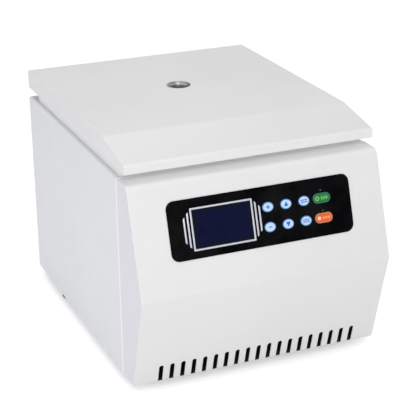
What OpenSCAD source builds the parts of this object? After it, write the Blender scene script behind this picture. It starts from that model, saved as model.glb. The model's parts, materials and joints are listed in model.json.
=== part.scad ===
// Bench-top laboratory centrifuge.
// +Z up, front faces -Y, +X to the right of somebody standing at the front.
// Origin: centre of the bounding box, on the surface that the feet stand on.
// Inside the modules y runs back from the front bottom edge of the casing and
// z up from the underside of the casing; module b() moves that to the origin.

/* [Casing] */
// Width of the casing
body_w = 380; // [360:2:400]
// Depth from the front bottom edge to the rear panel
body_d = 463.5; // [460:0.5:466]
// Height of the casing above its underside
body_h = 296.6; // [294:0.2:300]
// Thickness of the sheet metal
sheet = 1.5; // [1.2:0.1:1.8]
// How far the knee of the front stands out
knee_out = 42.4; // [36:0.2:48]
// Height of the knee above the underside
knee_h = 146.6; // [140:0.2:154]
// Set-back of the shoulder at the top of the front
shoulder_y = 5; // [2:0.5:10]
// Bend radius of the shoulder
shoulder_r = 12; // [8:1:16]
// Depth of the seam between front shell and side panels
seam_y = 41.8; // [38:0.2:46]
// Height of the feet
foot_h = 16; // [14:0.5:18]

/* [Lid] */
// Width of the lid
lid_w = 376.6; // [374:0.2:378]
// Rear face of the lid
lid_back = 468.7; // [468:0.1:470]
// Front face of the lid
lid_front = 14.5; // [12:0.5:18]
// Lower edge of the lid
lid_z0 = 310.5; // [310:0.1:312]
// Top of the lid's front face
lid_zf = 323.8; // [320:0.2:326]
// Top of the lid
lid_z1 = 339.4; // [337:0.2:342]
// Where the slope at the front of the lid begins
bevel_y = 100.8; // [90:0.2:110]

/* [Front] */
// Number of air slots along the bottom of the front
slots = 19; // [11:2:21]
// Spacing of the air slots
slot_pitch = 16.76; // [14:0.02:17]
// Width of an air slot
slot_w = 6.8; // [4:0.2:7.2]
// Height of an air slot on the lower face
slot_h = 30; // [20:1:36]
// Width of the control panel
panel_w = 277.6; // [276:0.4:290]
// Height of the control panel
panel_h = 83; // [82:1:90]
// Corner radius of the control panel
panel_r = 11.5; // [6:0.5:16]

/* [Chamber and rotor] */
// Distance of the rotor axis behind the front bottom edge
axis_y = 287.8; // [286:0.2:289]
// Inner radius of the chamber
bowl_r = 130; // [129:0.5:131]
// Number of tube bores in the rotor
tubes = 6; // [4:1:7]
// Radius of a tube bore
tube_r = 15; // [8:0.5:15]
// Angle of the tube bores from the rotor axis
tube_a = 25; // [23:1:26]

/* [Hidden] */
$fn = 64;

// outline of the front in y and z, with its bend radii
front_outline = [[0, 0, 3], [seam_y, 0, 0], [seam_y, body_h, 0],
    [shoulder_y, body_h, shoulder_r], [-knee_out, knee_h, 5]];
// centre of the bounding box in y
ymid = (lid_back + min([for (p = rounded(front_outline)) p[0]])) / 2;
hw = body_w / 2;
lean = atan2(shoulder_y + knee_out, body_h - knee_h);  // upper face, from vertical
lean2 = atan2(knee_out, knee_h);                       // lower face, from vertical

// neck of the top deck, which stands up inside the rim of the lid
neck_x = hw - 7.5;
neck_y0 = 50;
neck_y1 = 438;
deck_z = body_h + 14;                   // top of the deck plate
liner_z = deck_z + 5.7;                 // underside of the lid liner
gap = 0.6;                              // joint gap between casing sheets

// hinge axis
hinge_y = 456.5;
hinge_z = 305;
hinge_x = [-115, 115];
hinge_r = 5;
pin_r = 2.5;

// control panel: centre of the face, key grid, screen
pan_v = 88.5;
key_u = [10.2, 38, 65.8, 93.7];
key_v = [100.8, 72.7];
key_a = 8.6;                             // half width of a round key
key_b = 7.05;                           // half height of a key
pill_a = 13.6;                          // half width of the start and stop keys
lcd_u = -59;
lcd_v = 87.2;
lcd_w = 90.4;                           // between the centre lines of the trim
lcd_h = 56.6;
trim_w = 2.4;

// rear fittings
fan_x = -120;
fan_z = 75;
inlet_x = 110;
inlet_z = 48;
rocker_x = 60;
rocker_z = 45;
rocker_y = body_d - 2;
rocker_a = 8;                           // half of the rocker's swing

// rotor
rot_z0 = 172;                           // underside of the rotor
mouth_r = 52;                           // radius of the mouth circle
mouth_z = 262;
tube_l = 73;                            // straight wall of a tube bore
shaft_r = 7.5;

foot_xy = [[-162, 355], [162, 355], [-145, 62], [145, 62]];
mount_xy = [[-75, -75], [75, -75], [-75, 75], [75, 75]];
deck_screw_xy = [[-168, 64], [168, 64], [-168, 244], [168, 244], [-168, 424],
    [168, 424], [-60, 430], [60, 430]];
lid_screw_xy = [[-172, 34], [172, 34], [-60, 34], [60, 34], [-172, 240],
    [172, 240], [-172, 428], [172, 428]];
rear_screw_xz = [[-180, 20], [180, 20], [-180, 150], [180, 150], [-180, 280],
    [180, 280], [0, 20], [0, 280]];

// ---------- helpers ----------

function unit(v) = v / norm(v);

// points of the arc that rounds the corner p1 between p0 and p2
function corner(p0, p1, p2, r, n) =
    let (a = unit(p0 - p1), c = unit(p2 - p1), h = acos(a * c) / 2,
         m = p1 + unit(a + c) * (r / sin(h)),
         s = p1 + a * (r / tan(h)), e = p1 + c * (r / tan(h)),
         a0 = atan2(s[1] - m[1], s[0] - m[0]),
         a1 = atan2(e[1] - m[1], e[0] - m[0]),
         d = (a1 - a0 + 540) % 360 - 180)
    [for (i = [0:n]) m + r * [cos(a0 + d * i / n), sin(a0 + d * i / n)]];

// outline [[x, y, corner radius], ...] to points
function rounded(P, n = 8) =
    [for (i = [0:len(P) - 1])
        let (k = len(P), q = P[(i + k - 1) % k], p = P[i], s = P[(i + 1) % k])
        each (p[2] < 0.05 ? [[p[0], p[1]]]
            : corner([q[0], q[1]], [p[0], p[1]], [s[0], s[1]], p[2], n))];

// anticlockwise outline moved inwards by t, with the bend radii following
function inset(P, t) =
    [for (i = [0:len(P) - 1])
        let (k = len(P), q = P[(i + k - 1) % k], p = P[i], s = P[(i + 1) % k],
             d1 = unit([p[0] - q[0], p[1] - q[1]]),
             d2 = unit([s[0] - p[0], s[1] - p[1]]),
             n1 = [-d1[1], d1[0]], n2 = [-d2[1], d2[0]],
             v = [p[0], p[1]] + (n1 + n2) * t / (1 + n1 * n2),
             cw = d1[0] * d2[1] - d1[1] * d2[0])
        [v[0], v[1], max(0, cw > 0 ? p[2] - t : p[2] + t)]];

function rect(w, h, r) = [[-w / 2, -h / 2, r], [w / 2, -h / 2, r],
    [w / 2, h / 2, r], [-w / 2, h / 2, r]];
function box_xy(x0, y0, x1, y1, r) = [[x0, y0, r], [x1, y0, r], [x1, y1, r],
    [x0, y1, r]];
function oval(a, b, n = 48) = [for (i = [0:n - 1]) [a * cos(i * 360 / n),
    b * sin(i * 360 / n)]];

module b() { translate([0, -ymid, foot_h]) children(); }
// a (y, z) outline extruded from x0 to x1
module yz(x0, x1) {
    translate([x0, 0, 0]) rotate([90, 0, 90]) linear_extrude(x1 - x0) children();
}
// local u across, v up the upper face, w out of it
module face(u, v, w = 0) {
    b() translate([0, -knee_out, knee_h]) rotate([90 - lean, 0, 0])
        translate([u, v, w]) children();
}
// the same on the lower face, measured from the front bottom edge
module lower_face(u, v, w = 0) {
    b() rotate([90 + lean2, 0, 0]) translate([u, v, w]) children();
}
module bar(x0, x1, y0, y1, z0, z1) {
    translate([x0, y0, z0]) cube([x1 - x0, y1 - y0, z1 - z0]);
}
module plate(P, t) { linear_extrude(t) polygon(rounded(P)); }
module at_axis() { b() translate([0, axis_y, 0]) children(); }
module pan_screw(r, h, l) {
    difference() {
        union() {
            cylinder(r1 = r, r2 = r * 0.72, h = h);
            translate([0, 0, -l]) cylinder(r = r * 0.48, h = l + 0.1);
        }
        for (a = [0, 90]) rotate([0, 0, a])
            translate([-r * 0.62, -r * 0.12, h * 0.45]) cube([r * 1.24, r * 0.24, h]);
    }
}

// ---------- casing ----------

module front_shell() {
    inner = [for (i = [0:4]) let (q = inset(front_outline, sheet)[i])
        (i == 1 || i == 2) ? [seam_y + 5, q[1], 0] : q];
    color([0.91, 0.91, 0.91]) difference() {
        b() difference() {
            yz(-hw, hw) polygon(rounded(front_outline));
            yz(-hw + sheet, hw - sheet) polygon(rounded(inner));
        }
        // air slots, from just above the bottom bend
        for (i = [0:slots - 1]) let (u = (i - (slots - 1) / 2) * slot_pitch)
            lower_face(u, 0) {
                translate([-slot_w / 2, 1.9, -4])
                    cube([slot_w, slot_h - 1.9 - slot_w / 2, 10]);
                translate([0, slot_h - slot_w / 2, -4]) cylinder(d = slot_w, h = 10);
            }
        // screen and key openings behind the control panel
        face(lcd_u, lcd_v, -5) translate([-44.6, -27.8, 0]) cube([89.2, 55.6, 10]);
        face(0, 0, -5) translate([-1, 62, 0]) cube([112, 50.5, 10]);
    }
}

module side_panel(s) {
    // s = -1 left, 1 right: outer sheet, top flange, front and bottom returns
    color([0.86, 0.86, 0.89]) b() mirror([s > 0 ? 1 : 0, 0, 0]) {
        y0 = seam_y + gap;
        difference() {
            union() {
                translate([0, body_d, 0]) rotate([90, 0, 0])
                    linear_extrude(body_d - y0)
                    polygon(rounded([[-hw, 0, 0], [-hw + sheet, 0, 0],
                        [-hw + sheet, body_h - sheet, 0],
                        [-neck_x - 0.4, body_h - sheet, 0],
                        [-neck_x - 0.4, body_h, 0], [-hw, body_h, 2.5]]));
                bar(-hw + sheet - 0.1, -hw + 14, y0, y0 + sheet, 0, body_h - sheet - 0.3);
            }
        }
    }
}
module left_side_panel() { side_panel(-1); }
module right_side_panel() { side_panel(1); }

module rear_panel() {
    x1 = hw - sheet - 0.3;
    color([0.86, 0.86, 0.89]) b() difference() {
        union() {
            bar(-x1, x1, body_d - sheet, body_d, 0, body_h - sheet);
            // top flange, which carries the hinges
            bar(-neck_x + 0.2, neck_x - 0.2, neck_y1 + 0.4, body_d, body_h - sheet, body_h);
            bar(-x1, x1, body_d - 14, body_d - sheet + 0.1, 16.4, 16.4 + sheet);
        }
        translate([fan_x, body_d + 1, fan_z]) rotate([90, 0, 0]) cylinder(r = 38, h = 10);
        for (i = [-1, 1], j = [-1, 1]) translate([fan_x + 35.75 * i, body_d + 1, fan_z + 35.75 * j])
            rotate([90, 0, 0]) cylinder(r = 2.15, h = 10);
        bar(inlet_x - 13.8, inlet_x + 13.8, body_d - 5, body_d + 1, inlet_z - 22.8, inlet_z + 22.8);
        bar(rocker_x - 9.3, rocker_x + 9.3, body_d - 5, body_d + 1, rocker_z - 14, rocker_z + 14);
        for (p = rear_screw_xz) translate([p[0], body_d + 1, p[1]]) rotate([90, 0, 0])
            cylinder(r = 1.7, h = 10);
        // louvre slots high on the panel
        for (i = [-9:9]) translate([i * 16, body_d - 5, 215]) {
            bar(-3, 3, 0, 10, -15, 15);
            for (s = [-15, 15]) translate([0, 10, s]) rotate([90, 0, 0]) cylinder(r = 3, h = 10);
        }
    }
}

module base_pan() {
    x1 = hw - sheet - 0.3;
    y0 = seam_y + gap + sheet + 0.3;
    y1 = body_d - sheet - 0.3;
    color([0.72, 0.73, 0.75]) b() difference() {
        bar(-x1, x1, y0, y1, 0, 16);
        bar(-x1 + 2, x1 - 2, y0 - 1, y1 - 2, 2, 17);
        for (p = foot_xy) if (p[1] > y0 + 10) translate([p[0], p[1], -1]) cylinder(r = 3.1, h = 5);
        // air slots under the motor
        for (s = [-1, 1], i = [-4:4]) translate([s * 125, axis_y + i * 14, -1])
            linear_extrude(5) polygon(rounded(rect(46, 5, 2.4), 5));
    }
}

module top_deck() {
    color([0.88, 0.88, 0.89]) b() difference() {
        union() {
            // raised neck, open below
            difference() {
                translate([0, 0, body_h - 14])
                    plate(box_xy(-neck_x, neck_y0, neck_x, neck_y1, 6), 28);
                translate([0, 0, body_h - 15])
                    plate(box_xy(-neck_x + sheet, neck_y0 + sheet, neck_x - sheet,
                        neck_y1 - sheet, 4.5), 29 - sheet);
            }
            // ledge that closes the casing in front of the neck
            bar(-neck_x, neck_x, seam_y + gap, neck_y0 + sheet, body_h - sheet, body_h);
            bar(-hw + 14.5, hw - 14.5, seam_y + gap, seam_y + gap + sheet, body_h - 12, body_h - sheet + 0.1);
            // flanges that hook under the side panels
            for (s = [-1, 1]) bar(s > 0 ? neck_x - 0.8 : -hw + 2.2, s > 0 ? hw - 2.2 : -neck_x + 0.8,
                neck_y0 + 8, neck_y1 - 8, body_h - 3.2 - sheet, body_h - 3.2);
        }
        translate([0, axis_y, 0]) cylinder(r = bowl_r + 1.5, h = 400, $fn = 96);
        // slot for the striker of the lid
        translate([0, 78, 300]) plate(rect(24, 16, 3), 20);
        for (p = deck_screw_xy) translate([p[0], p[1], 300]) cylinder(r = 1.7, h = 20);
    }
}

module chamber_bowl() {
    // spun bowl: floor, rounded corner, wall, rim on the deck
    z0 = 152;
    t = 1.2;
    o = [[26, z0 - t, 0], [bowl_r + t, z0 - t, 21.2], [bowl_r + t, deck_z + 0.1, 0],
        [bowl_r + 8, deck_z + 0.1, 0], [bowl_r + 8, deck_z + 1.1, 0],
        [bowl_r, deck_z + 1.1, 0.9], [bowl_r, z0, 20], [26, z0, 0]];
    color([0.78, 0.79, 0.8]) at_axis() rotate_extrude($fn = 96) polygon(rounded(o, 6));
}

module guard_ring() {
    color([0.45, 0.46, 0.48]) at_axis() {
        difference() {
            union() {
                translate([0, 0, 130]) cylinder(r = 142, h = 174, $fn = 96);
                for (a = [0:90:270]) rotate([0, 0, a]) {
                    translate([139.5, 0, 2.2]) cylinder(r = 6, h = 140, $fn = 32);
                    translate([139.5, 0, 2.2]) cylinder(r = 11, h = 4, $fn = 32);
                }
            }
            translate([0, 0, 129]) cylinder(r = 137, h = 176, $fn = 96);
        }
    }
}

module chamber_gasket() {
    // rubber ring on the rim of the bowl, which the lid presses on
    o = [[bowl_r + 9.2, deck_z + 0.1, 0], [bowl_r + 13, deck_z + 0.1, 1],
        [bowl_r + 13, deck_z + 4, 1.5], [bowl_r + 5, deck_z + 5.4, 2],
        [bowl_r - 1, deck_z + 3.4, 1], [bowl_r - 1, deck_z + 1.3, 0],
        [bowl_r + 9.2, deck_z + 1.3, 0]];
    color([0.16, 0.16, 0.17]) at_axis() rotate_extrude($fn = 96) polygon(rounded(o, 4));
}

module motor_plate() {
    color([0.55, 0.56, 0.58]) at_axis() difference() {
        translate([0, 0, 27]) plate(rect(190, 190, 14), 4);
        translate([0, 0, 20]) cylinder(r = 28, h = 20);
        for (p = mount_xy) translate([p[0], p[1], 20]) cylinder(r = 4.2, h = 20);
    }
}

module vibration_mounts() {
    color([0.12, 0.12, 0.12]) at_axis() for (p = mount_xy) translate([p[0], p[1], 0])
        rotate_extrude($fn = 48) polygon([[0, 2], [14, 2], [15, 4], [11, 10], [11, 19],
            [15, 25], [14, 26.9], [0, 26.9]]);
}

module motor_housing() {
    color([0.6, 0.61, 0.63]) at_axis() difference() {
        union() {
            translate([0, 0, 39.1]) cylinder(r = 58, h = 85.8);
            for (a = [0:15:345]) rotate([0, 0, a]) bar(57, 62, -1.2, 1.2, 44, 120);
        }
        translate([0, 0, 38]) cylinder(r = 54, h = 88);
    }
}

module motor_end_bells() {
    color([0.68, 0.69, 0.7]) at_axis() {
        // lower
        rotate_extrude() polygon([[10, 31.1], [62, 31.1], [62, 39], [24, 39],
            [24, 49], [17.5, 49], [17.5, 36], [10, 36]]);
        // upper
        rotate_extrude() polygon([[24, 125], [62, 125], [62, 133], [24, 133],
            [24, 146], [10, 146], [10, 142.2], [17.5, 142.2], [17.5, 125]]);
    }
}

module stator() {
    color([0.5, 0.36, 0.2]) at_axis() rotate_extrude() polygon([[32.5, 52], [36, 52],
        [36, 44], [50, 44], [50, 52], [53.9, 52], [53.9, 112], [50, 112], [50, 120],
        [36, 120], [36, 112], [32.5, 112]]);
}

module shaft_bearings() {
    color([0.75, 0.76, 0.78]) at_axis() for (z = [36.2, 131]) translate([0, 0, z])
        rotate_extrude() polygon([[7.56, 0], [17.45, 0], [17.45, 11], [7.56, 11]]);
}

module shaft_boot() {
    color([0.13, 0.13, 0.13]) at_axis() rotate_extrude() polygon([[19, 146.2],
        [25.7, 146.2], [25.7, 152.2], [31, 152.2], [31, 154], [15, 158], [12, 158],
        [12, 155.6], [19, 152.4]]);
}

// ---------- control panel ----------

module key_outline(pill, grow = 0) {
    if (pill) polygon(rounded(rect(2 * (pill_a + grow), 2 * (key_b + grow), key_b + grow - 0.01), 12));
    else polygon(oval(key_a + grow, key_b + grow));
}

module control_panel() {
    color([0.04, 0.045, 0.05]) difference() {
        face(0, pan_v, 0.02) plate(rect(panel_w, panel_h, panel_r), 0.8);
        face(lcd_u, lcd_v, -1) linear_extrude(4) square([lcd_w - trim_w + 0.2, lcd_h - trim_w + 0.2], center = true);
        for (i = [0:3], j = [0:1]) face(key_u[i], key_v[j], -1)
            linear_extrude(4) key_outline(i == 3, 0.35);
    }
}

module lcd_trim() {
    // frame round the screen and two shorter bars on each side of it
    color([0.85, 0.86, 0.9]) {
        face(lcd_u, lcd_v, 0.84) linear_extrude(0.5) difference() {
            square([lcd_w + trim_w, lcd_h + trim_w], center = true);
            square([lcd_w - trim_w + 0.3, lcd_h - trim_w + 0.3], center = true);
        }
        for (s = [-1, 1], k = [[5.2, 23.2], [10.9, 16.9]])
            face(lcd_u + s * (lcd_w / 2 + k[0]), lcd_v, 0.84) mirror([s < 0 ? 1 : 0, 0, 0])
                linear_extrude(0.5) polygon([[-1.2, -k[1] - 1.6], [1.2, -k[1] + 0.8],
                    [1.2, k[1] - 0.8], [-1.2, k[1] + 1.6]]);
    }
}

module lcd_screen() {
    color([0.07, 0.08, 0.2]) face(lcd_u, lcd_v, -1.45) linear_extrude(2.05)
        square([lcd_w - trim_w - 0.2, lcd_h - trim_w - 0.2], center = true);
}

module lcd_module() {
    color([0.62, 0.63, 0.65]) {
        face(lcd_u, lcd_v, -9.6) plate(rect(100, 62, 2), 8);
        face(lcd_u, lcd_v, -11.4) plate(rect(96, 58, 1), 1.75);
    }
}

module keypad_board() {
    color([0.08, 0.32, 0.16]) {
        face(0, 0, -10.6) translate([-8, 54, 0]) cube([123, 66, 1.6]);
        for (i = [0:3], j = [0:1]) face(key_u[i], key_v[j], -9) {
            translate([-3, -3, -0.1]) cube([6, 6, 1.3]);
            cylinder(r = 1.7, h = 2.1, $fn = 24);
        }
        for (u = [-5, 112], v = [57, 117]) face(u, v, -9.05) cylinder(r = 2.4, h = 7.4, $fn = 24);
    }
}

module control_board() {
    color([0.07, 0.3, 0.15]) {
        difference() {
            face(0, 0, -26) translate([-124, 46, 0]) cube([248, 84, 1.6]);
            face(0, 48, -30) translate([-17, -3, 0]) cube([34, 5, 10]);
        }
        for (c = [[-60, 92, 20, 20, 2.5], [10, 98, 14, 14, 2.5], [60, 80, 26, 12, 9],
            [-95, 70, 12, 30, 8], [95, 104, 18, 10, 11]])
            face(c[0], c[1], -24.45) translate([-c[2] / 2, -c[3] / 2, 0]) cube([c[2], c[3], c[4]]);
        for (u = [-119, 119], v = [51, 125]) face(u, v, -24.45) cylinder(r = 3, h = 22.8, $fn = 24);
    }
}

module ribbon_cable() {
    // flat cable from the control board down to the drive board
    c = [-knee_out, knee_h];
    u = [sin(lean), cos(lean)];
    n = [cos(lean), -sin(lean)];
    p = c + u * 47.2 + n * 26;
    P = [p, p + [4, -14], [-2, 118], [6, 82], [30, 52], [52, 34], [58, 17.6]];
    color([0.55, 0.56, 0.58]) b() yz(-15, 15) polygon(concat(
        [for (i = [0:len(P) - 1]) P[i] + 0.6 * side(P, i)],
        [for (i = [len(P) - 1:-1:0]) P[i] - 0.6 * side(P, i)]));
}
// unit normal of the polyline P at point i
function side(P, i) = let (a = P[max(i - 1, 0)], c = P[min(i + 1, len(P) - 1)],
    d = unit(c - a)) [-d[1], d[0]];

module drive_board() {
    color([0.1, 0.33, 0.18]) b() {
        difference() {
            bar(-165, 25, 50, 142, 14, 15.6);
            bar(-16, 16, 55, 61, 13, 17);
        }
        for (x = [-159, 19], y = [64, 136]) translate([x, y, 2]) cylinder(r = 3, h = 12.1, $fn = 24);
        // smoothing capacitors, relay, connector block
        for (x = [-140, -112]) translate([x, 66, 15.5]) cylinder(r = 11, h = 42, $fn = 40);
        bar(-90, -66, 56, 76, 15.5, 34);
        bar(-58, -26, 66, 78, 15.5, 28);
        // finned heat sink
        bar(-150, -30, 96, 132, 15.5, 21);
        for (x = [-150:8:-34]) bar(x, x + 2.4, 96, 132, 20.9, 52);
    }
}

module transformer() {
    color([0.42, 0.36, 0.3]) b() translate([100, 96, 2]) {
        difference() {
            union() {
                bar(-36, 36, -14, 14, 4, 62);
                bar(-45, 45, -20, 20, 0, 4.1);
            }
            for (s = [-1, 1]) translate([s * 40.5, 0, -1]) cylinder(r = 2.2, h = 8, $fn = 24);
        }
        for (s = [-1, 1]) bar(-24, 24, s > 0 ? 13.9 : -30, s > 0 ? 30 : -13.9, 13, 53);
    }
}

// ---------- rear fittings ----------

module power_inlet() {
    color([0.07, 0.07, 0.075]) b() translate([inlet_x, body_d, inlet_z]) difference() {
        union() {
            rotate([-90, 0, 0]) plate(rect(34, 52, 3), 2.4);
            bar(-13.5, 13.5, -24, 0.1, -22.5, 22.5);
        }
        // plug recess with two cut corners
        translate([0, 3, -9.5]) rotate([90, 0, 0]) linear_extrude(18)
            polygon([[-12.2, -8.2], [12.2, -8.2], [12.2, 3.8], [8, 8.2], [-8, 8.2], [-12.2, 3.8]]);
        // opening of the fuse drawer
        bar(-10.2, 10.2, -20, 3, 7, 16.2);
    }
}

module inlet_pins() {
    color([0.8, 0.74, 0.5]) b() translate([inlet_x, body_d, inlet_z - 9.5])
        for (p = [[-7, -2.5], [7, -2.5], [0, 3]]) bar(p[0] - 1, p[0] + 1, -14.9, -1, p[1] - 2, p[1] + 2);
}

module fuse_drawer() {
    color([0.1, 0.1, 0.1]) b() translate([inlet_x, body_d, inlet_z]) difference() {
        bar(-9.9, 9.9, -19, 3, 7.3, 15.9);
        bar(-4, 4, 1.8, 4, 13.6, 17);
    }
}

module switch_bezel() {
    color([0.07, 0.07, 0.075]) b() translate([rocker_x, body_d, rocker_z]) difference() {
        union() {
            rotate([-90, 0, 0]) plate(rect(22, 32, 2), 2);
            bar(-9, 9, -20, 0.1, -13.6, 13.6);
        }
        bar(-7, 7, -14, 3, -12.4, 12.4);
        translate([-8.4, rocker_y - body_d, 0]) rotate([0, 90, 0]) cylinder(r = 1.56, h = 16.8, $fn = 32);
    }
}

module power_rocker() {
    color([0.62, 0.07, 0.06]) b() translate([rocker_x, rocker_y, rocker_z]) rotate([-rocker_a, 0, 0]) {
        yz(-6.7, 6.7) polygon([[-7.5, -5], [-1, -11.2], [2.8, -11.2], [1.6, 0], [2.8, 11.2],
            [-1, 11.2], [-7.5, 5]]);
        translate([-8.2, 0, 0]) rotate([0, 90, 0]) cylinder(r = 1.5, h = 16.4, $fn = 32);
    }
}

module fan_frame() {
    color([0.06, 0.06, 0.065]) b() translate([fan_x, body_d - sheet - 0.05, fan_z]) rotate([90, 0, 0]) {
        difference() {
            plate(rect(80, 80, 4), 25);
            translate([0, 0, -1]) cylinder(r = 38.5, h = 27);
            for (i = [-1, 1], j = [-1, 1]) translate([35.75 * i, 35.75 * j, -1]) cylinder(r = 2.15, h = 27, $fn = 24);
        }
        // motor seat on three struts, with the impeller's pin
        translate([0, 0, 22]) cylinder(r = 16, h = 3);
        for (a = [90, 210, 330]) rotate([0, 0, a]) translate([14, -2, 22]) cube([26, 4, 3]);
        translate([0, 0, 6]) cylinder(r = 1.5, h = 17, $fn = 32);
    }
}

module fan_impeller() {
    color([0.1, 0.1, 0.11]) b() translate([fan_x, body_d - sheet - 0.05, fan_z]) rotate([90, 0, 0])
        difference() {
            union() {
                translate([0, 0, 2.4]) cylinder(r = 16, h = 18.8);
                for (k = [0:6]) rotate([0, 0, k * 360 / 7]) translate([15, 0, 11.8])
                    rotate([38, 0, 0]) translate([0, -9.5, -0.8]) cube([21.4, 19, 1.6]);
            }
            translate([0, 0, 4]) cylinder(r = 1.56, h = 20, $fn = 32);
        }
}

module fan_guard() {
    color([0.75, 0.76, 0.78]) b() translate([fan_x, body_d + 1.9, fan_z]) rotate([90, 0, 0]) {
        for (r = [9, 16, 23, 30, 37]) rotate_extrude() translate([r, 0]) circle(r = 0.8, $fn = 16);
        for (a = [45, 135]) rotate([0, 0, a]) translate([-47, 0, 0.9]) rotate([0, 90, 0]) cylinder(r = 0.8, h = 94, $fn = 16);
        for (i = [-1, 1], j = [-1, 1]) translate([35.75 * i, 35.75 * j, 0.1]) difference() {
            cylinder(r = 4, h = 1.6, $fn = 32);
            translate([0, 0, -1]) cylinder(r = 2.1, h = 4, $fn = 24);
        }
    }
}

// ---------- lid lock ----------

module lock_housing() {
    color([0.66, 0.67, 0.69]) b() difference() {
        union() {
            bar(-20, 20, 64, 94, 276, deck_z - sheet - 0.1);
            bar(-32, 32, 64, 94, deck_z - sheet - 2.6, deck_z - sheet - 0.1);
        }
        bar(-13.5, 13.5, 67, 91, 279, 320);
        translate([0, 100, 294]) rotate([90, 0, 0]) cylinder(r = 3.07, h = 12, $fn = 32);
        for (s = [-1, 1]) translate([26 * s, 79, 290]) cylinder(r = 2.1, h = 30, $fn = 24);
    }
}

module lock_solenoid() {
    color([0.2, 0.2, 0.22]) b() difference() {
        union() {
            bar(-14, 14, 98, 140, 281, 307);
            bar(-22, 22, 138, 140.1, 281, 307);
        }
        translate([0, 138, 294]) rotate([90, 0, 0]) cylinder(r = 5.06, h = 50, $fn = 32);
    }
}

module lock_bolt() {
    color([0.8, 0.81, 0.83]) b() translate([0, 136, 294]) rotate([90, 0, 0]) {
        cylinder(r = 5, h = 25, $fn = 32);
        cylinder(r = 3, h = 50, $fn = 32);
    }
}

// ---------- hinges, feet, screws ----------

module hinge_brackets() {
    color([0.6, 0.61, 0.63]) b() for (hx = hinge_x) translate([hx, 0, 0]) difference() {
        union() {
            bar(-30, 30, 441, 462.5, body_h + 0.02, body_h + 2.5);
            for (s = [-1, 1]) {
                bar(s > 0 ? 11 : -30, s > 0 ? 30 : -11, hinge_y - 4, hinge_y + 4, body_h + 2, hinge_z);
                translate([s > 0 ? 11 : -30, hinge_y, hinge_z]) rotate([0, 90, 0]) cylinder(r = hinge_r, h = 19, $fn = 48);
            }
        }
        translate([-40, hinge_y, hinge_z]) rotate([0, 90, 0]) cylinder(r = pin_r + 0.02, h = 80, $fn = 48);
        for (x = [-21, 21]) translate([x, 446, 290]) cylinder(r = 2.1, h = 20, $fn = 24);
    }
}

module hinge_pins() {
    color([0.78, 0.79, 0.8]) b() for (hx = hinge_x) translate([hx - 31, hinge_y, hinge_z])
        rotate([0, 90, 0]) {
            cylinder(r = pin_r, h = 62, $fn = 48);
            for (z = [-1.4, 61.9]) translate([0, 0, z]) cylinder(r = 3.6, h = 1.5, $fn = 32);
        }
}

module lid_hinge_leaves() {
    color([0.6, 0.61, 0.63]) b() for (hx = hinge_x) translate([hx, 0, 0]) difference() {
        union() {
            bar(-30, 30, 430, 463, liner_z - 2.5, liner_z - 0.02);
            bar(-10.5, 10.5, hinge_y - 4, hinge_y + 4, hinge_z, liner_z - 2);
            translate([-10.5, hinge_y, hinge_z]) rotate([0, 90, 0]) cylinder(r = hinge_r, h = 21, $fn = 48);
        }
        translate([-40, hinge_y, hinge_z]) rotate([0, 90, 0]) cylinder(r = pin_r + 0.06, h = 80, $fn = 48);
        for (x = [-21, 21]) translate([x, 436, 305]) cylinder(r = 2.1, h = 20, $fn = 24);
    }
}

module rubber_feet() {
    color([0.07, 0.07, 0.07]) b() for (p = foot_xy) translate([p[0], p[1], -foot_h])
        rotate_extrude($fn = 48) polygon(rounded([[8, 0, 0], [22, 0, 1.5], [20.5, 4, 3],
            [15, 8.5, 4], [16.5, foot_h - 0.02, 0], [3.1, foot_h - 0.02, 0], [3.1, 6, 0], [8, 6, 0]], 4));
}

module casing_screws() {
    color([0.7, 0.71, 0.73]) b() {
        for (p = deck_screw_xy) translate([p[0], p[1], deck_z + 0.02]) pan_screw(3.3, 1.9, 7);
        for (p = rear_screw_xz) translate([p[0], body_d + 0.02, p[1]]) rotate([-90, 0, 0]) pan_screw(3.3, 1.9, 7);
        for (p = foot_xy) translate([p[0], p[1], -foot_h + 6 - 0.02]) rotate([180, 0, 0]) pan_screw(5.6, 2.6, 17);
        for (i = [-1, 1], j = [-1, 1]) translate([fan_x + 35.75 * i, body_d + 1.84, fan_z + 35.75 * j])
            rotate([-90, 0, 0]) pan_screw(3.3, 1.9, 12);
        for (hx = hinge_x, x = [-21, 21]) translate([hx + x, 446, body_h + 2.52]) pan_screw(3.5, 1.8, 2.3);
    }
}

// ---------- lid ----------

lid_outline = [[lid_front, lid_z0, 0], [lid_back, lid_z0, 0], [lid_back, lid_z1, 3],
    [bevel_y, lid_z1, 12], [lid_front, lid_zf, 4.5]];

module lid_shell() {
    inner = [for (i = [0:4]) let (q = inset(lid_outline, sheet)[i])
        i < 2 ? [q[0], lid_z0 - 5, 0] : q];
    color([0.87, 0.87, 0.875]) b() difference() {
        union() {
            difference() {
                yz(-lid_w / 2, lid_w / 2) polygon(rounded(lid_outline));
                yz(-lid_w / 2 + sheet, lid_w / 2 - sheet) polygon(rounded(inner));
            }
            // return of the front edge, which is the finger grip
            bar(-lid_w / 2 + 1, lid_w / 2 - 1, lid_front + 1, lid_front + 11, lid_z0, lid_z0 + sheet);
        }
        translate([0, axis_y, lid_z1 - 5]) cylinder(r = 16.8, h = 10);
    }
}

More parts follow.
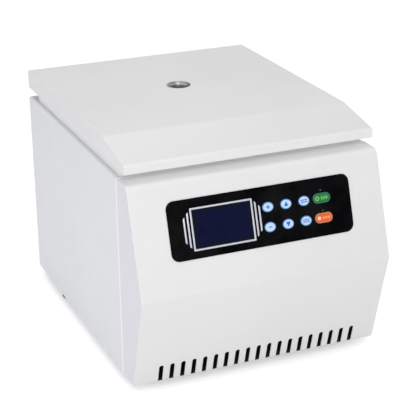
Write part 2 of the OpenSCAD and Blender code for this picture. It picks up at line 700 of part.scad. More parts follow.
module lid_liner() {
    x1 = lid_w / 2 - sheet - 0.4;
    y0 = lid_front + sheet + 0.4;
    y1 = lid_back - sheet - 0.4;
    color([0.83, 0.84, 0.86]) b() difference() {
        bar(-x1, x1, y0, y1, liner_z, liner_z + 4.6);
        bar(-x1 + 1.2, x1 - 1.2, y0 + 1.2, y1 - 1.2, liner_z + 1.2, liner_z + 8);
        translate([0, axis_y, liner_z - 2]) cylinder(r = 16.8, h = 10);
        for (p = lid_screw_xy) translate([p[0], p[1], liner_z - 2]) cylinder(r = 1.7, h = 10, $fn = 24);
        for (hx = hinge_x, x = [-21, 21]) translate([hx + x, 436, liner_z - 2]) cylinder(r = 1.7, h = 10, $fn = 24);
        bar(-12, 12, 76, 80, liner_z - 1, liner_z + 3);
    }
}

module sight_ring() {
    // flanged tube from the top of the lid to its liner
    color([0.55, 0.56, 0.58]) at_axis() rotate_extrude($fn = 64) polygon([[15.2, liner_z],
        [16.6, liner_z], [16.6, lid_z1 + 0.02], [18.5, lid_z1 + 0.02], [18.5, lid_z1 + 0.5],
        [18, lid_z1 + 0.9], [15.2, lid_z1 + 0.9], [15.2, lid_z1 - 8], [14.2, lid_z1 - 8],
        [14.2, lid_z1 - 12.1], [15.2, lid_z1 - 12.1]]);
}

module sight_glass() {
    color([0.7, 0.75, 0.78, 0.5]) at_axis() translate([0, 0, lid_z1 - 7.98])
        cylinder(r = 15.1, h = 1.8);
}

module lid_striker() {
    color([0.72, 0.73, 0.75]) b() difference() {
        union() {
            bar(-8, 8, 76.5, 79.5, 283, liner_z + 1.1);
            bar(-18, 18, 70, 86, liner_z - 1.5, liner_z - 0.02);
        }
        bar(-4.8, 4.8, 70, 90, 289.4, 298.6);
        for (s = [-1, 1]) translate([13.5 * s, 78, 310]) cylinder(r = 1.7, h = 10, $fn = 24);
    }
}

module lid_screws() {
    color([0.7, 0.71, 0.73]) b() {
        for (p = lid_screw_xy) translate([p[0], p[1], liner_z - 0.02]) rotate([180, 0, 0]) pan_screw(3.3, 1.7, 5);
        for (s = [-1, 1]) translate([13.5 * s, 78, liner_z - 1.52]) rotate([180, 0, 0]) pan_screw(3, 1.5, 1.3);
        for (hx = hinge_x, x = [-21, 21]) translate([hx + x, 436, liner_z - 2.52]) rotate([180, 0, 0]) pan_screw(3.3, 1.5, 6);
    }
}

// ---------- motor and rotor ----------

module motor_shaft() {
    color([0.8, 0.81, 0.83]) at_axis() {
        translate([0, 0, 36.4]) cylinder(r = shaft_r, h = 217.6);
        translate([0, 0, 254]) cylinder(r = 5, h = 18);
    }
}

module armature() {
    color([0.4, 0.41, 0.43]) at_axis() translate([0, 0, 52]) difference() {
        cylinder(r = 31.6, h = 60);
        translate([0, 0, -1]) cylinder(r = shaft_r + 0.01, h = 62);
    }
}

module rotor_head() {
    s = sin(tube_a);
    c = cos(tube_a);
    // wall 20 mm outside the bore axis, parallel to it; mouths on a cone
    rim_r = mouth_r + 20 * c;
    rim_z = mouth_z + 20 * s;
    low_r = rim_r + 95 * s;
    low_z = rim_z - 95 * c;
    in_r = mouth_r - 20 * c;
    in_z = mouth_z - 20 * s;
    o = [[shaft_r + 0.01, rot_z0, 0], [low_r - 14, rot_z0, 4], [low_r - 1, low_z - 5, 8],
        [rim_r, rim_z, 2.5], [in_r, in_z, 3], [24, in_z, 1.5], [24, in_z + 5, 1],
        [shaft_r + 0.01, in_z + 5, 0]];
    color([0.7, 0.71, 0.73]) at_axis() difference() {
        rotate_extrude($fn = 96) polygon(rounded(o, 5));
        for (i = [0:tubes - 1]) rotate([0, 0, 90 + i * 360 / tubes]) translate([mouth_r, 0, mouth_z])
            rotate([0, 180 - tube_a, 0]) {
                translate([0, 0, -20]) cylinder(r = tube_r, h = tube_l + 20, $fn = 48);
                translate([0, 0, tube_l]) sphere(r = tube_r, $fn = 48);
                translate([0, 0, -20.8]) cylinder(r1 = tube_r + 21, r2 = tube_r, h = 21, $fn = 48);
            }
    }
}

module rotor_nut() {
    z0 = mouth_z - 20 * sin(tube_a) + 5.02;
    color([0.15, 0.15, 0.16]) at_axis() difference() {
        union() {
            translate([0, 0, z0]) cylinder(r = 17, h = 3);
            translate([0, 0, z0]) cylinder(r = 14, h = 17);
            translate([0, 0, z0 + 16.9]) cylinder(r1 = 14, r2 = 10, h = 4);
            for (a = [0:30:330]) rotate([0, 0, a]) translate([13.6, 0, z0]) cylinder(r = 1.6, h = 16, $fn = 24);
        }
        translate([0, 0, z0 - 10]) cylinder(r = 5.01, h = 24);
    }
}

// ---------- keys ----------

module key(i, j) {
    pill = i == 3;
    face(key_u[i], key_v[j], 0) {
        translate([0, 0, -1.3]) linear_extrude(2.7) key_outline(pill);
        translate([0, 0, -1.4]) linear_extrude(0.9) key_outline(pill, 1.1);
        translate([0, 0, -6.1]) cylinder(r = 2.4, h = 5, $fn = 24);
    }
}
module key_plus() { color([0.7, 0.83, 0.96]) key(0, 0); }
module key_minus() { color([0.7, 0.83, 0.96]) key(0, 1); }
module key_up() { color([0.7, 0.83, 0.96]) key(1, 0); }
module key_down() { color([0.7, 0.83, 0.96]) key(1, 1); }
module key_mode() { color([0.7, 0.83, 0.96]) key(2, 0); }
module key_set() { color([0.7, 0.83, 0.96]) key(2, 1); }
module key_start() { color([0.1, 0.52, 0.17]) key(3, 0); }
module key_stop() { color([0.92, 0.38, 0.16]) key(3, 1); }

base_pan();
front_shell();
left_side_panel();
right_side_panel();
rear_panel();
top_deck();
chamber_bowl();
guard_ring();
chamber_gasket();
motor_plate();
vibration_mounts();
motor_housing();
motor_end_bells();
stator();
shaft_bearings();
shaft_boot();
control_panel();
lcd_trim();
lcd_screen();
lcd_module();
keypad_board();
control_board();
ribbon_cable();
drive_board();
transformer();
power_inlet();
inlet_pins();
fuse_drawer();
switch_bezel();
fan_frame();
fan_guard();
lock_housing();
lock_solenoid();
hinge_brackets();
hinge_pins();
rubber_feet();
casing_screws();
lid_shell();
lid_liner();
sight_glass();
sight_ring();
lid_striker();
lid_hinge_leaves();
lid_screws();
motor_shaft();
armature();
rotor_head();
rotor_nut();
fan_impeller();
lock_bolt();
power_rocker();
key_plus();
key_minus();
key_up();
key_down();
key_mode();
key_set();
key_start();
key_stop();
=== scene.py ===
import json
import math
import bpy
import bmesh
from mathutils import Vector, Matrix


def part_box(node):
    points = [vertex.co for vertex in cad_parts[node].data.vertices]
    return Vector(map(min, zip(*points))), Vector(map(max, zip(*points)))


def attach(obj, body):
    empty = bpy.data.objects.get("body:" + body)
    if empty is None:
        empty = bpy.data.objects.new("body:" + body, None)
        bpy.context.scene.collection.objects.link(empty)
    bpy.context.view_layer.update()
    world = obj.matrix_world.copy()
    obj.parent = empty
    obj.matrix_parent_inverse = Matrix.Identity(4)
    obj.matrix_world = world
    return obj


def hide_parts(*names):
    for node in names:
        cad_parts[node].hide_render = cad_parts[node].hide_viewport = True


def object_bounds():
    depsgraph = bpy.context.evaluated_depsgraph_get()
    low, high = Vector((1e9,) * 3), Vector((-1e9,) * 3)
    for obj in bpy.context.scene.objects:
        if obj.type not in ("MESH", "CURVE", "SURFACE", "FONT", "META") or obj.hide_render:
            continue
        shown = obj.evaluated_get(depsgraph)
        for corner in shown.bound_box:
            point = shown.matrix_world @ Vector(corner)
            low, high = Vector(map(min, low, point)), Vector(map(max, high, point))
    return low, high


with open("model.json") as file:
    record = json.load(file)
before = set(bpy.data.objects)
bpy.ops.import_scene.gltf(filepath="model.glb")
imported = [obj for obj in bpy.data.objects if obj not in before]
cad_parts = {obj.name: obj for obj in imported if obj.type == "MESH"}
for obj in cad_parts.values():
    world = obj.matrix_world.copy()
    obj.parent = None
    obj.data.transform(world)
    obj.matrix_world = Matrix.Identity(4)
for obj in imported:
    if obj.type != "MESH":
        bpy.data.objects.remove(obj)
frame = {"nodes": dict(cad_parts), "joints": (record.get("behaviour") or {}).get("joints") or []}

cad_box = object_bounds()
nodes = frame["nodes"]
scene = bpy.context.scene
MM = 0.001


# ------------------------------------------------------------------ materials

class Mat:
    """A node material: a few helpers round one Principled shader."""

    def __init__(self, name, color=(0.8, 0.8, 0.8), rough=0.5, metal=0.0, coord="Object"):
        self.m = bpy.data.materials.new(name)
        self.m.use_nodes = True
        self.t = self.m.node_tree
        self.b = self.t.nodes["Principled BSDF"]
        self.b.inputs["Base Color"].default_value = (*color, 1)
        self.b.inputs["Roughness"].default_value = rough
        self.b.inputs["Metallic"].default_value = metal
        self.m.diffuse_color = (*color, 1)
        self.co = self.node("ShaderNodeTexCoord").outputs[coord]
        self.last_bump = None

    def node(self, kind, **props):
        n = self.t.nodes.new(kind)
        for k, v in props.items():
            setattr(n, k, v)
        return n

    def link(self, a, b):
        self.t.links.new(a, b)

    def put(self, socket, value):
        if isinstance(value, bpy.types.NodeSocket):
            self.link(value, socket)
        else:
            socket.default_value = value

    def mapped(self, scale=(1, 1, 1), rot=(0, 0, 0), loc=(0, 0, 0), vec=None):
        n = self.node("ShaderNodeMapping")
        self.link(vec or self.co, n.inputs["Vector"])
        n.inputs["Scale"].default_value = scale
        n.inputs["Rotation"].default_value = rot
        n.inputs["Location"].default_value = loc
        return n.outputs["Vector"]

    def noise(self, scale, detail=3.0, rough=0.5, vec=None, distort=0.0):
        n = self.node("ShaderNodeTexNoise")
        self.link(vec or self.co, n.inputs["Vector"])
        n.inputs["Scale"].default_value = scale
        n.inputs["Detail"].default_value = detail
        n.inputs["Roughness"].default_value = rough
        n.inputs["Distortion"].default_value = distort
        return n.outputs["Fac"]

    def voronoi(self, scale, feature="F1", vec=None, out="Distance"):
        n = self.node("ShaderNodeTexVoronoi", feature=feature)
        self.link(vec or self.co, n.inputs["Vector"])
        n.inputs["Scale"].default_value = scale
        return n.outputs[out]

    def math(self, op, a, b=0.0, c=0.0, clamp=False):
        n = self.node("ShaderNodeMath", operation=op, use_clamp=clamp)
        self.put(n.inputs[0], a)
        self.put(n.inputs[1], b)
        if op in ("MULTIPLY_ADD", "SMOOTH_MIN", "COMPARE"):
            self.put(n.inputs[2], c)
        return n.outputs[0]

    def span(self, value, a0, a1, b0=0.0, b1=1.0, smooth=False):
        n = self.node("ShaderNodeMapRange", interpolation_type="SMOOTHSTEP" if smooth else "LINEAR")
        self.put(n.inputs["Value"], value)
        for k, v in (("From Min", a0), ("From Max", a1), ("To Min", b0), ("To Max", b1)):
            self.put(n.inputs[k], v)
        return n.outputs["Result"]

    def mix(self, fac, a, b):
        n = self.node("ShaderNodeMix", data_type="RGBA")
        self.put(n.inputs[0], fac)
        self.put(n.inputs[6], a if isinstance(a, bpy.types.NodeSocket) else (*a, 1))
        self.put(n.inputs[7], b if isinstance(b, bpy.types.NodeSocket) else (*b, 1))
        return n.outputs[2]

    def xyz(self, vec=None):
        n = self.node("ShaderNodeSeparateXYZ")
        self.link(vec or self.co, n.inputs[0])
        return n.outputs[0], n.outputs[1], n.outputs[2]

    def join(self, x, y, z):
        n = self.node("ShaderNodeCombineXYZ")
        for s, v in zip(n.inputs, (x, y, z)):
            self.put(s, v)
        return n.outputs[0]

    def polar(self, cx, cy):
        """(radius, angle, z) round the vertical line through cx, cy."""
        x, y, z = self.xyz()
        dx = self.math("SUBTRACT", x, cx)
        dy = self.math("SUBTRACT", y, cy)
        r = self.math("SQRT", self.math("ADD", self.math("MULTIPLY", dx, dx), self.math("MULTIPLY", dy, dy)))
        return r, self.math("ARCTAN2", dy, dx), z

    def color(self, value):
        self.put(self.b.inputs["Base Color"], value)
        return self

    def rough(self, value):
        self.put(self.b.inputs["Roughness"], value)
        return self

    def set(self, **kw):
        for k, v in kw.items():
            self.b.inputs[k.replace("_", " ")].default_value = v
        return self

    def bump(self, height, strength=0.3, distance=0.0001):
        n = self.node("ShaderNodeBump")
        self.put(n.inputs["Height"], height)
        n.inputs["Strength"].default_value = strength
        n.inputs["Distance"].default_value = distance
        if self.last_bump is not None:
            self.link(self.last_bump, n.inputs["Normal"])
        self.last_bump = n.outputs["Normal"]
        self.link(self.last_bump, self.b.inputs["Normal"])
        return self

    def edges(self, radius=0.0012, lo=0.02, hi=0.35):
        """0 on flat areas, 1 on sharp edges."""
        bev = self.node("ShaderNodeBevel", samples=4)
        bev.inputs["Radius"].default_value = radius
        geo = self.node("ShaderNodeNewGeometry")
        dot = self.node("ShaderNodeVectorMath", operation="DOT_PRODUCT")
        self.link(bev.outputs["Normal"], dot.inputs[0])
        self.link(geo.outputs["Normal"], dot.inputs[1])
        return self.span(self.math("SUBTRACT", 1.0, dot.outputs["Value"]), lo, hi)


def powder_coat(name, color, seed=0.0, shade=0.035, inside=None, flank_painted_shade=None, lip=None):
    """Satin powder coat: orange peel, faint cloudiness, a little handling soil."""
    m = Mat(name, color, 0.38)
    shift = m.mapped(loc=(seed, seed * 0.7, seed * 1.3))
    cloud = m.noise(5.0, 4, 0.55, shift)
    speck = m.noise(900.0, 1, 0.5, shift)
    dark = tuple(c * (1 - shade) for c in color)
    warm = (color[0] * 0.985, color[1] * 0.975, color[2] * 0.95)
    c1 = m.mix(m.span(cloud, 0.35, 0.7), color, dark)
    c2 = m.mix(m.span(m.noise(34.0, 5, 0.65, shift), 0.62, 0.86, 0, 0.35), c1, warm)
    c3 = m.mix(m.span(speck, 0.45, 0.8, 0, 0.12), c2, dark)
    if inside:
        # painted shade: faces that look into the casing are turned near-black, standing in for the dark interior
        geo = m.node("ShaderNodeNewGeometry")
        nx, ny, nz = m.xyz(geo.outputs["Normal"])
        x, y, z = m.xyz()
        out = m.math("ADD", m.math("MULTIPLY", ny, m.math("SUBTRACT", y, inside[0])),
                     m.math("MULTIPLY", nz, m.math("SUBTRACT", z, inside[1])))
        cheek = m.math("MULTIPLY", m.span(m.math("MULTIPLY", nx, m.math("SIGN", x)), -0.5, -0.6),
                       m.math("GREATER_THAN", m.math("ABSOLUTE", x), inside[2]))
        side = m.math("MULTIPLY", nx, m.math("SIGN", x))
        # painted shade: faces that point straight sideways take a cooler, darker tone
        c3 = m.mix(m.span(side, 0.90, 0.985), c3, flank_painted_shade)
        # painted shade: near-black on faces that look into the casing
        c3 = m.mix(m.math("MAXIMUM", m.span(out, -0.003, -0.006), cheek), c3, (0.035, 0.036, 0.038))
    if lip is not None:
        # painted highlight: a lighter band along the folded front lip of a side panel, standing in for the highlight on
        # the seam
        fx, fy, fz = m.xyz()
        c3 = m.mix(m.span(fy, lip + 0.0052, lip + 0.0036), c3, (0.89, 0.89, 0.895))
    m.color(c3)
    m.rough(m.span(m.noise(60.0, 4, 0.6, shift), 0.3, 0.7, 0.33, 0.45))
    m.bump(m.noise(430.0, 2, 0.5, shift), 0.22, 0.00012)
    m.bump(m.noise(1500.0, 2, 0.6, shift), 0.12, 0.00005)
    m.set(Coat_Weight=0.12, Coat_Roughness=0.25)
    return m.m


def brushed(name, color, rough=(0.22, 0.4), axis=0, metal=1.0, stretch=60.0, strength=0.18):
    m = Mat(name, color, sum(rough) / 2, metal)
    s = [2600.0, 2600.0, 2600.0]
    s[axis] = 2600.0 / stretch
    grain = m.noise(1.0, 2, 0.6, m.mapped(scale=s))
    cloud = m.noise(28.0, 3, 0.5)
    m.color(m.mix(m.span(grain, 0.3, 0.7), tuple(c * 0.9 for c in color), tuple(min(1, c * 1.06) for c in color)))
    m.rough(m.math("ADD", m.span(grain, 0.3, 0.7, rough[0], rough[1]), m.span(cloud, 0.4, 0.7, 0, 0.05)))
    m.bump(grain, strength, 0.00003)
    return m.m


def turned(name, color, centre, rough=(0.18, 0.34), pitch=1500.0, metal=1.0, strength=0.2, coord="Object"):
    """Lathe-turned or spun metal: fine rings round a vertical axis."""
    m = Mat(name, color, sum(rough) / 2, metal, coord)
    r, a, z = m.polar(*centre)
    lines = m.noise(1.0, 3, 0.65, m.join(m.math("MULTIPLY", r, pitch), m.math("MULTIPLY", a, 0.9), m.math("MULTIPLY", z, pitch)))
    broad = m.noise(1.0, 2, 0.5, m.join(m.math("MULTIPLY", r, 60.0), m.math("MULTIPLY", a, 1.6), m.math("MULTIPLY", z, 60.0)))
    smear = m.noise(16.0, 4, 0.6)
    tone = m.mix(m.span(lines, 0.3, 0.72), tuple(c * 0.86 for c in color), tuple(min(1, c * 1.08) for c in color))
    m.color(m.mix(m.span(smear, 0.5, 0.8, 0, 0.25), tone, tuple(c * 0.8 for c in color)))
    m.rough(m.math("ADD", m.span(lines, 0.3, 0.7, rough[0], rough[1]), m.span(broad, 0.35, 0.7, 0, 0.08)))
    m.bump(lines, strength, 0.00003)
    return m.m


def zinc_sheet(name, color=(0.56, 0.57, 0.585)):
    m = Mat(name, color, 0.4, 0.85)
    cell = m.voronoi(90.0, out="Color")
    grey = m.node("ShaderNodeRGBToBW")
    m.link(cell, grey.inputs[0])
    m.color(m.mix(grey.outputs[0], tuple(c * 0.86 for c in color), tuple(min(1, c * 1.1) for c in color)))
    m.rough(m.span(grey.outputs[0], 0, 1, 0.3, 0.46))
    m.bump(m.noise(700.0, 3, 0.6), 0.12, 0.00004)
    return m.m


def cast_metal(name, color, rough=0.5, metal=0.9, grain=420.0):
    m = Mat(name, color, rough, metal)
    n = m.noise(grain, 4, 0.62)
    m.color(m.mix(m.span(n, 0.3, 0.75), tuple(c * 0.78 for c in color), color))
    m.rough(m.span(m.noise(90.0, 3, 0.6), 0.3, 0.7, rough - 0.08, rough + 0.12))
    m.bump(n, 0.5, 0.00025)
    return m.m


def plastic(name, color, rough=0.42, grain=1300.0, strength=0.22, specular=0.5, gloss=0.0, wear_and_reflection=0.14):
    m = Mat(name, color, rough)
    n = m.noise(grain, 2, 0.6)
    light = tuple(min(1, c * (1 + wear_and_reflection) + 0.006) for c in color)
    m.color(m.mix(m.span(m.noise(22.0, 4, 0.6), 0.4, 0.75), color, light))
    m.rough(m.span(m.noise(70.0, 4, 0.6), 0.3, 0.7, max(0.03, rough - 0.05), rough + 0.09))
    m.bump(n, strength, 0.00006)
    m.set(Specular_IOR_Level=specular, Coat_Weight=gloss, Coat_Roughness=0.08)
    return m.m


def rubber(name, color=(0.022, 0.022, 0.024)):
    m = Mat(name, color, 0.72)
    dust = m.noise(60.0, 6, 0.7)
    m.color(m.mix(m.span(dust, 0.5, 0.8, 0, 0.6), color, (0.075, 0.073, 0.07)))
    m.rough(m.span(dust, 0.3, 0.7, 0.62, 0.85))
    m.bump(m.noise(1100.0, 3, 0.6), 0.4, 0.00012)
    m.set(Specular_IOR_Level=0.35)
    return m.m


def circuit_board(name):
    m = Mat(name, (0.02, 0.12, 0.05), 0.35)
    x, y, z = m.xyz()
    brick = m.node("ShaderNodeTexBrick")
    m.link(m.join(m.math("MULTIPLY", x, 1.0), m.math("ADD", y, z), 0.0), brick.inputs["Vector"])
    for k, v in (("Scale", 55.0), ("Mortar Size", 0.035), ("Brick Width", 0.9), ("Row Height", 0.18)):
        brick.inputs[k].default_value = v
    pads = m.span(m.voronoi(150.0), 0.16, 0.2, 1, 0)
    base = m.mix(brick.outputs["Fac"], (0.016, 0.1, 0.04), (0.03, 0.19, 0.08))
    m.color(m.mix(m.math("MULTIPLY", pads, 0.7), base, (0.62, 0.6, 0.5)))
    m.rough(m.span(pads, 0, 1, 0.36, 0.25))
    m.bump(brick.outputs["Fac"], 0.3, 0.00005)
    return m.m


def copper_coils(name):
    m = Mat(name, (0.62, 0.27, 0.1), 0.35, 0.9)
    r, a, z = m.polar(0.0, axis_y)
    wire = m.math("SINE", m.math("MULTIPLY", m.math("ADD", z, m.math("MULTIPLY", r, 0.7)), 7000.0))
    m.color(m.mix(m.span(wire, -1, 1), (0.3, 0.11, 0.04), (0.7, 0.33, 0.13)))
    m.rough(m.span(wire, -1, 1, 0.5, 0.28))
    m.bump(wire, 0.8, 0.0003)
    return m.m


def laminated(name):
    m = Mat(name, (0.2, 0.19, 0.18), 0.45, 0.8)
    x, y, z = m.xyz()
    line = m.math("SINE", m.math("MULTIPLY", z, 9000.0))
    m.color(m.mix(m.span(line, -1, 1), (0.1, 0.095, 0.09), (0.27, 0.26, 0.245)))
    m.rough(m.span(m.noise(120.0, 3), 0.3, 0.7, 0.36, 0.55))
    m.bump(line, 0.5, 0.0002)
    return m.m


# ---------------------------------------------------------------- frame facts

axis_lo, axis_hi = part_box("guard_ring")
axis_y = (axis_lo.y + axis_hi.y) / 2
press = next(j for j in frame["joints"] if j["name"] == "press_plus")["axis"]
NRM = -Vector(press).normalized()            # out of the control panel
UP = Vector((0, -NRM.y * 0 + NRM.z, -NRM.y)).normalized()   # up along it
p_lo, p_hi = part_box("control_panel")
PAN = (p_lo + p_hi) / 2                      # middle of the panel plate
PAN_W = 0.42 * MM                            # its height over the sheet metal
PAN_HW = (p_hi.x - p_lo.x) / 2


def at(u, v, w):
    """Point in metres from millimetres across, up and out of the panel face."""
    return PAN + Vector((u * MM, 0, 0)) + UP * (v * MM) + NRM * (w * MM - PAN_W)


def local(node):
    """Range of a CAD node in the same three directions, in millimetres."""
    pts = [v.co - PAN for v in nodes[node].data.vertices]
    u = [p.x / MM for p in pts]
    v = [p.dot(UP) / MM for p in pts]
    w = [(p.dot(NRM) + PAN_W) / MM for p in pts]
    return (min(u), max(u)), (min(v), max(v)), (min(w), max(w))


# -------------------------------------------------------------- mesh helpers

def mesh_piece(name, verts, faces, mats, body, slot, mat_of=None, smooth=True, angle=35):
    me = bpy.data.meshes.new(name)
    me.from_pydata([tuple(v) for v in verts], [], faces)
    me.validate()
    o = bpy.data.objects.new(name, me)
    scene.collection.objects.link(o)
    for m in mats:
        me.materials.append(m)
    if mat_of:
        for i, p in enumerate(me.polygons):
            p.material_index = mat_of[i]
    bm = bmesh.new()
    bm.from_mesh(me)
    bmesh.ops.remove_doubles(bm, verts=bm.verts, dist=1e-7)
    bmesh.ops.recalc_face_normals(bm, faces=bm.faces)
    for e in bm.edges:
        e.smooth = len(e.link_faces) == 2 and e.calc_face_angle(0) < math.radians(angle)
    for f in bm.faces:
        f.smooth = smooth
    bm.to_mesh(me)
    bm.free()
    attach(o, body)
    return o


def loft(rings, close_start=True, close_end=True):
    """Faces that join rings of points, with flat ends."""
    verts, faces = [], []
    n = len(rings[0])
    for r in rings:
        verts += r
    for k in range(len(rings) - 1):
        for i in range(n):
            j = (i + 1) % n
            faces.append((k * n + i, k * n + j, (k + 1) * n + j, (k + 1) * n + i))
    if close_start:
        faces.append(tuple(range(n))[::-1])
    if close_end:
        faces.append(tuple((len(rings) - 1) * n + i for i in range(n)))
    return verts, faces


def ellipse(a, b, n=72):
    return [(a * math.cos(2 * math.pi * i / n), b * math.sin(2 * math.pi * i / n)) for i in range(n)]


def stadium(a, b, n=18):
    """Outline with straight sides and half-round ends: half length a, half height b."""
    pts = []
    for s, t0 in ((1, -90), (-1, 90)):
        for i in range(n + 1):
            t = math.radians(t0 + 180 * i / n)
            pts.append((s * (a - b) + b * math.cos(t), b * math.sin(t)))
    return pts


def round_rect(hw, hh, r, n=8):
    pts = []
    for cx, cy, t0 in ((hw - r, -hh + r, -90), (hw - r, hh - r, 0), (-hw + r, hh - r, 90), (-hw + r, -hh + r, 180)):
        for i in range(n + 1):
            t = math.radians(t0 + 90 * i / n)
            pts.append((cx + r * math.cos(t), cy + r * math.sin(t)))
    return pts


def slab(name, outlines, w0, w1, mat, body, slot, frame_at, edge=0.04):
    """Flat shapes, such as the parts of an icon, as thin solids with a small edge bevel."""
    verts, faces = [], []
    for pts in outlines:
        area = sum(p[0] * q[1] - q[0] * p[1] for p, q in zip(pts, pts[1:] + pts[:1]))
        if area < 0:
            pts = pts[::-1]
        n = len(pts)
        inner = []
        for i in range(n):
            p, q, s = Vector(pts[i - 1]), Vector(pts[i]), Vector(pts[(i + 1) % n])
            d1, d2 = (q - p).normalized(), (s - q).normalized()
            n1, n2 = Vector((-d1.y, d1.x)), Vector((-d2.y, d2.x))
            k = max(0.35, 1 + n1.dot(n2))
            inner.append(tuple(q + (n1 + n2) * edge / k))
        rings = [[frame_at(*p, w0) for p in pts], [frame_at(*p, w1 - edge) for p in pts],
                 [frame_at(*p, w1) for p in inner]]
        v, f = loft(rings)
        k = len(verts)
        verts += v
        faces += [tuple(i + k for i in t) for t in f]
    return mesh_piece(name, verts, faces, [mat], body, slot, angle=30)


def revolve(name, profile, centre, mats, body, slot, n=96, mat_of=None, angle=35, closed=True):
    """Closed (r, z) outline turned round the vertical line through centre, metres."""
    m = len(profile)
    verts = [(centre[0] + r * math.cos(2 * math.pi * i / n), centre[1] + r * math.sin(2 * math.pi * i / n), z)
             for i in range(n) for r, z in profile]
    faces, which = [], []
    for i in range(n):
        k = (i + 1) % n
        for j in range(m if closed else m - 1):
            l = (j + 1) % m
            faces.append((i * m + j, k * m + j, k * m + l, i * m + l))
            which.append(mat_of[j] if mat_of else 0)
    return mesh_piece(name, verts, faces, mats, body, slot, mat_of=which, angle=angle)


# --------------------------------------------- carried-over CAD nodes: finish

def dress(node, mat, bevel=0.35, seg=2, angle=28.0, flat=0.6):
    """Material, and small rounded edges made with modifiers; the mesh itself stays."""
    o = nodes[node]
    o.data.materials.clear()
    o.data.materials.append(mat)
    for p in o.data.polygons:
        p.material_index = 0
    if bevel:
        w = o.modifiers.new("weld", "WELD")
        w.merge_threshold = 2e-6
        d = o.modifiers.new("facets", "DECIMATE")
        d.decimate_type = "DISSOLVE"
        d.angle_limit = math.radians(flat)
        b = o.modifiers.new("edges", "BEVEL")
        b.width = bevel * MM
        b.segments = seg
        b.limit_method = "ANGLE"
        b.angle_limit = math.radians(angle)
        b.use_clamp_overlap = True
        b.harden_normals = True
        b.miter_outer = "MITER_ARC"
    return o


# a lighter copy of the white coat, used on the top deck: painted light that lifts the shade in the gap under the lid
white = powder_coat("white_coat", (0.86, 0.86, 0.865))
# the front shell's coat carries painted shade: near-black on faces that look into the casing, and a cooler, darker tone
# on its sideways faces
front_white = powder_coat("white_coat_front", (0.757, 0.754, 0.753), inside=(-0.19, 0.16, 0.18),
                          flank_painted_shade=(0.695, 0.688, 0.732))
# a cooler, slightly darker copy of the white coat for the side and rear panels: painted shade of the cool side light;
# its lip band is a painted highlight
white_side_shaded = powder_coat("white_coat_sides_shaded", (0.742, 0.745, 0.765), 3.1, lip=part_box("left_side_panel")[0].y)
lid_white = powder_coat("lid_coat", (0.757, 0.755, 0.756), 7.7)
zinc = zinc_sheet("zinc")
stainless = turned("stainless", (0.62, 0.625, 0.63), (0.0, axis_y), (0.16, 0.3), 900.0)
armour = cast_metal("armour", (0.16, 0.165, 0.175), 0.5, 0.6)
cast_alu = cast_metal("cast_aluminium", (0.55, 0.56, 0.575), 0.4, 0.95)
rotor_alu = turned("anodised", (0.52, 0.53, 0.55), (0.0, axis_y), (0.2, 0.36), 2300.0)
shaft_steel = turned("steel_shaft", (0.6, 0.605, 0.62), (0.0, axis_y), (0.12, 0.24), 2600.0)
bright_steel = brushed("bright_steel", (0.62, 0.63, 0.64), (0.16, 0.3), 2)
rubber_mat = rubber("rubber_black")
panel_black = plastic("panel_black", (0.0018, 0.0019, 0.0022), 0.16, 900.0, 0.04, 0.13, 0.0, 0.2)
black = plastic("black_plastic", (0.016, 0.016, 0.018), 0.45, 1200.0, 0.4)
board = circuit_board("circuit_green")
coils = copper_coils("copper")
core = laminated("core_steel")
ribbon = plastic("ribbon_grey", (0.34, 0.345, 0.36), 0.5)
brass = brushed("pin_brass", (0.72, 0.58, 0.3), (0.15, 0.3), 1)
red = plastic("rocker_red", (0.5, 0.018, 0.012), 0.22, 900.0, 0.08, 0.5, 0.6)
knob = plastic("knob_black", (0.02, 0.02, 0.022), 0.38, 1000.0, 0.35)
lid_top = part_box("lid_shell")[1].z
chrome_m = Mat("ring_chrome", (0.42, 0.42, 0.44), 0.35, 0.3)
ring_r, ring_a, ring_z = chrome_m.polar(0.0, axis_y)
flange = chrome_m.math("MAXIMUM", chrome_m.span(ring_r, 0.0155, 0.0158),
                       chrome_m.span(ring_z, lid_top - 0.0016, lid_top - 0.0006))
chrome_m.rough(chrome_m.span(chrome_m.noise(300.0, 3), 0.3, 0.7, 0.32, 0.40))
# painted shade: the ring's bore is dark deep down and light near the top
depth = chrome_m.span(ring_z, lid_top - 0.0072, lid_top - 0.0026)
deep = chrome_m.mix(chrome_m.span(chrome_m.noise(60.0, 4), 0.4, 0.7), (0.05, 0.047, 0.048), (0.08, 0.075, 0.077))
bright = chrome_m.mix(chrome_m.span(chrome_m.noise(60.0, 4), 0.4, 0.7), (0.60, 0.57, 0.575), (0.68, 0.65, 0.655))
# painted reflection: the flange is near-black on its front side and light at the back, as if it mirrored the dark flag
wear_and_reflection = chrome_m.span(chrome_m.math("SINE", ring_a), -0.7, 0.5)
rim = chrome_m.mix(wear_and_reflection, (0.02, 0.02, 0.021), (0.40, 0.39, 0.395))
chrome_m.color(chrome_m.mix(flange, chrome_m.mix(depth, deep, bright), rim))
chrome = chrome_m.m
screw_m = Mat("screw_steel", (0.55, 0.555, 0.57), 0.25, 1.0)
screw_m.rough(screw_m.span(screw_m.noise(500.0, 3), 0.3, 0.7, 0.18, 0.34))
screw_m.color(screw_m.mix(screw_m.span(screw_m.noise(220.0, 4), 0.4, 0.75), (0.55, 0.555, 0.57), (0.42, 0.42, 0.43)))
screw = screw_m.m
wire_m = Mat("wire_chrome", (0.6, 0.605, 0.62), 0.15, 1.0)
wire_m.rough(wire_m.span(wire_m.noise(260.0, 3), 0.3, 0.7, 0.1, 0.24))
wire_m.color(wire_m.mix(wire_m.span(wire_m.noise(90.0, 4), 0.4, 0.75), (0.62, 0.62, 0.64), (0.5, 0.5, 0.52)))
wire = wire_m.m
glass_m = Mat("smoked_glass", (0.30, 0.31, 0.32), 0.02)
glass_m.set(Transmission_Weight=1.0, IOR=1.45)
glass_m.rough(glass_m.span(glass_m.noise(90.0, 5, 0.7), 0.45, 0.8, 0.01, 0.06))
glass = glass_m.m

